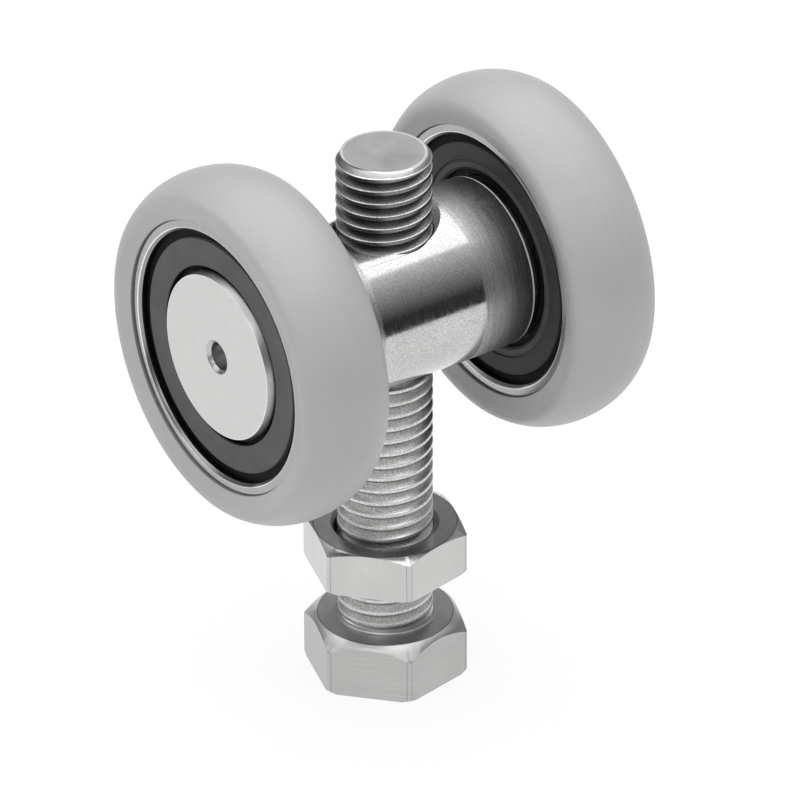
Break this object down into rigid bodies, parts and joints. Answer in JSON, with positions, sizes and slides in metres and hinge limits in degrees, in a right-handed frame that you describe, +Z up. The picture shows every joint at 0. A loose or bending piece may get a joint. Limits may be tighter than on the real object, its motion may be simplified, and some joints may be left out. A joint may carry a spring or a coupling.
{
  "type": "sliding door hanger roller",
  "caption": "Hanger roller for a sliding door: ball-bearing wheels on a cross axle, carried by an upright bolt with a lock nut for the door's bracket.",
  "frame": {"origin": "middle of the underside of the bolt's head, on which the part stands", "axes": "+X the way the wheels roll, +Y along the axle towards the right wheel, +Z up along the bolt"},
  "size_m": [0.045, 0.0522, 0.0748],
  "materials": {
    "bolt_steel": "plain turned steel",
    "nut_steel": "satin",
    "axle_steel": "brushed round the axle",
    "cap_steel": "fine satin face",
    "ring_steel": "ground",
    "ball_steel": "polished",
    "cage_steel": "pressed sheet",
    "seal_rubber": "matt moulded rubber",
    "tyre_nylon": "smooth moulded nylon"
  },
  "bodies": {
    "bolt": {"hanger_bolt": "bolt_steel"},
    "nut": {"lock_nut": "nut_steel"},
    "axle": {"axle_body": "axle_steel", "left_inner_ring": "ring_steel", "left_end_cap": "cap_steel", "right_inner_ring": "ring_steel", "right_end_cap": "cap_steel"},
    "left_wheel": {"left_tyre": "tyre_nylon", "left_outer_ring": "ring_steel", "left_outer_seal": "seal_rubber", "left_inner_seal": "seal_rubber"},
    "left_ball_set": {"left_balls": "ball_steel", "left_cage_outer_half": "cage_steel", "left_cage_inner_half": "cage_steel", "left_cage_rivets": "cage_steel"},
    "right_wheel": {"right_tyre": "tyre_nylon", "right_outer_ring": "ring_steel", "right_outer_seal": "seal_rubber", "right_inner_seal": "seal_rubber"},
    "right_ball_set": {"right_balls": "ball_steel", "right_cage_outer_half": "cage_steel", "right_cage_inner_half": "cage_steel", "right_cage_rivets": "cage_steel"}
  },
  "joints": [
    {"name": "height_adjust", "type": "slide", "parent": "bolt", "child": "axle", "axis": [0, 0, 1], "range_m": [-0.01, 0.009]},
    {"name": "nut_travel", "type": "slide", "parent": "bolt", "child": "nut", "axis": [0, 0, 1], "range_m": [-0.0067, 0.01]},
    {"name": "left_wheel_spin", "type": "hinge", "parent": "axle", "child": "left_wheel", "pos_m": [0, -0.02, 0.0523], "axis": [0, 1, 0], "continuous": true},
    {"name": "left_ball_set_spin", "type": "hinge", "parent": "axle", "child": "left_ball_set", "pos_m": [0, -0.02, 0.0523], "axis": [0, 1, 0], "continuous": true},
    {"name": "right_wheel_spin", "type": "hinge", "parent": "axle", "child": "right_wheel", "pos_m": [0, 0.02, 0.0523], "axis": [0, 1, 0], "continuous": true},
    {"name": "right_ball_set_spin", "type": "hinge", "parent": "axle", "child": "right_ball_set", "pos_m": [0, 0.02, 0.0523], "axis": [0, 1, 0], "continuous": true}
  ],
  "couplings": [
    {"joint": "left_ball_set_spin", "follows": "left_wheel_spin", "ratio": 0.5916},
    {"joint": "right_ball_set_spin", "follows": "right_wheel_spin", "ratio": 0.5916}
  ]
}
